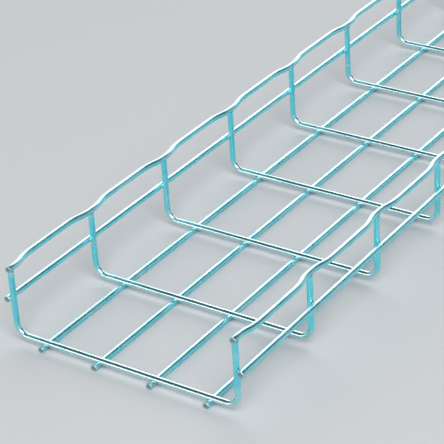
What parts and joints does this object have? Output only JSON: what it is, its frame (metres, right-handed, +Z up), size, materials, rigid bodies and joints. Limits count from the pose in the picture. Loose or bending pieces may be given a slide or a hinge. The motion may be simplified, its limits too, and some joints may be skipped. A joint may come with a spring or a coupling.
{
  "type": "wire mesh cable basket",
  "caption": "Straight length of open wire mesh basket for carrying cables: bent cross wires on straight bottom and side wires, with a waved wire along each top edge.",
  "frame": {"origin": "middle of the length and width, level with the underside of the bottom wires", "axes": "+X across the basket, +Y along it, +Z up through the open top"},
  "size_m": [0.2146, 3.01, 0.067],
  "materials": {
    "cross_wires": "satin",
    "bottom_wires": "satin",
    "side_wires": "satin",
    "top_wires": "satin"
  },
  "bodies": {
    "root": {"cross_wire_01": "cross_wires", "cross_wire_02": "cross_wires", "cross_wire_03": "cross_wires", "cross_wire_04": "cross_wires", "cross_wire_05": "cross_wires", "cross_wire_06": "cross_wires", "cross_wire_07": "cross_wires", "cross_wire_08": "cross_wires", "cross_wire_09": "cross_wires", "cross_wire_10": "cross_wires", "cross_wire_11": "cross_wires", "cross_wire_12": "cross_wires", "cross_wire_13": "cross_wires", "cross_wire_14": "cross_wires", "cross_wire_15": "cross_wires", "cross_wire_16": "cross_wires", "cross_wire_17": "cross_wires", "cross_wire_18": "cross_wires", "cross_wire_19": "cross_wires", "cross_wire_20": "cross_wires", "cross_wire_21": "cross_wires", "cross_wire_22": "cross_wires", "cross_wire_23": "cross_wires", "cross_wire_24": "cross_wires", "cross_wire_25": "cross_wires", "cross_wire_26": "cross_wires", "cross_wire_27": "cross_wires", "cross_wire_28": "cross_wires", "cross_wire_29": "cross_wires", "cross_wire_30": "cross_wires", "cross_wire_31": "cross_wires", "bottom_wire_1": "bottom_wires", "bottom_wire_2": "bottom_wires", "bottom_wire_3": "bottom_wires", "bottom_wire_4": "bottom_wires", "side_wire_left": "side_wires", "side_wire_right": "side_wires", "top_wire_left": "top_wires", "top_wire_right": "top_wires"}
  },
  "joints": []
}
